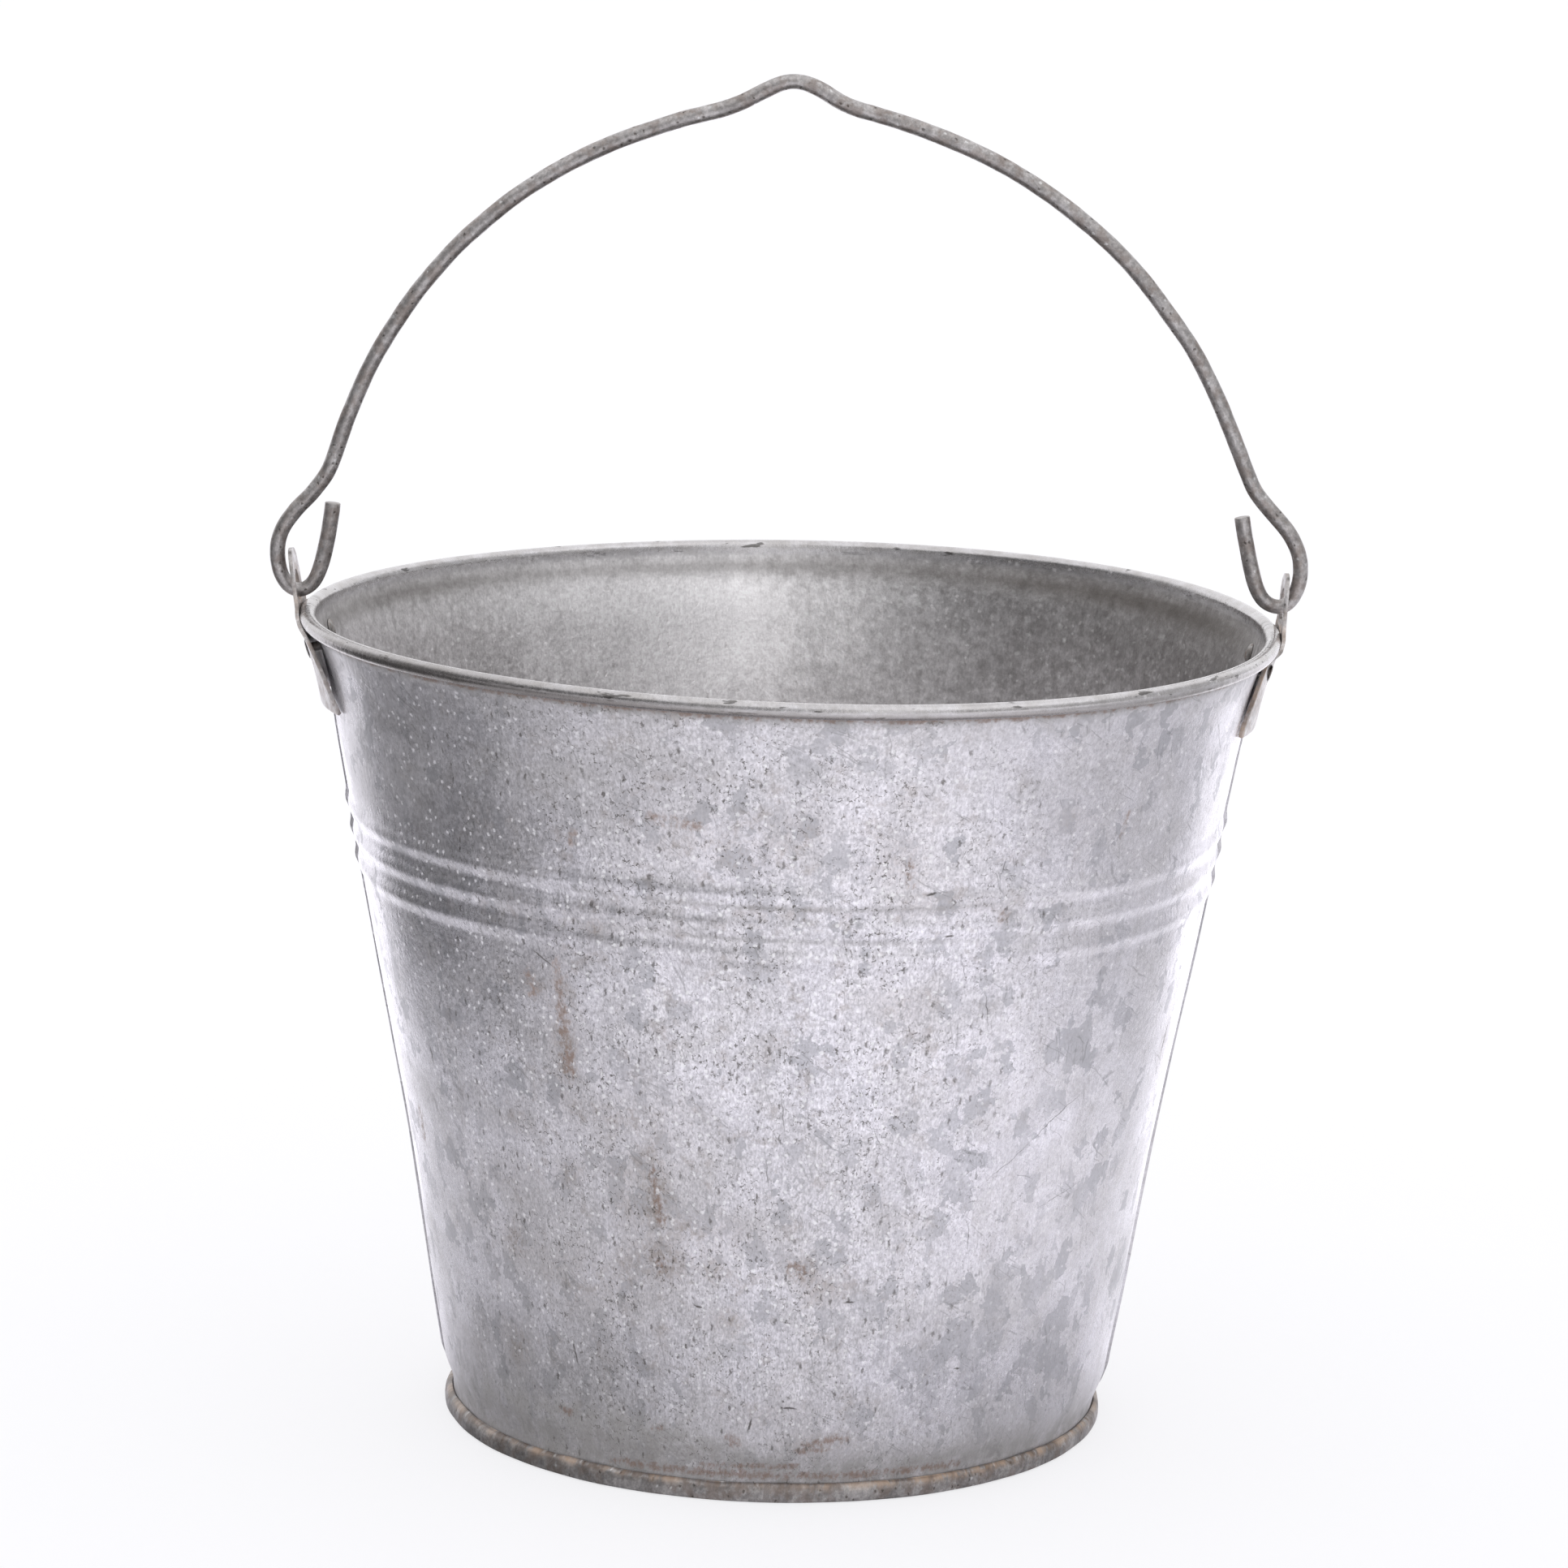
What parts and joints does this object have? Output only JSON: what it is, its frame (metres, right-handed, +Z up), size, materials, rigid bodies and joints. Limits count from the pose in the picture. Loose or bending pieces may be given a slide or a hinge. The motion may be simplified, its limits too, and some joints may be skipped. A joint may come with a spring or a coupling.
{
  "type": "pail",
  "caption": "Tapered sheet-steel pail with a wired rim, swaged stiffening beads, foot ring, riveted ears and a swinging wire bail.",
  "frame": {"origin": "centre of the foot ring's underside", "axes": "+Z up along the pail's axis; +X and -X through the two ears and the bail's pivots; -Y towards the front"},
  "size_m": [0.3174, 0.299, 0.4165],
  "materials": {
    "galvanised_sheet": "weathered hot-dip galvanised, matt grey with faint spangle, small stains and scratches",
    "galvanised_foot": "weathered galvanised with rust brown along the upper edge",
    "galvanised_bottom": "dull galvanised, stained",
    "galvanised_ear": "weathered galvanised, brown at the edges",
    "rivet": "dull tinned steel, darkened",
    "bail": "dark galvanised wire with a brown tinge, worn smooth",
    "rim_wire": "bare wire enclosed in the rim curl"
  },
  "bodies": {
    "pail": {"body_front": "galvanised_sheet", "body_back": "galvanised_sheet", "rim_wire": "rim_wire", "foot_ring": "galvanised_foot", "bottom_disc": "galvanised_bottom", "ear_left": "galvanised_ear", "ear_right": "galvanised_ear", "rivet_left_front": "rivet", "rivet_left_back": "rivet", "rivet_right_front": "rivet", "rivet_right_back": "rivet"},
    "bail": {"bail_wire": "bail"}
  },
  "joints": [
    {"name": "bail_hinge", "type": "hinge", "parent": "pail", "child": "bail", "pos_m": [0, 0, 0.2554], "axis": [1, 0, 0], "range_deg": [-90, 90]}
  ]
}
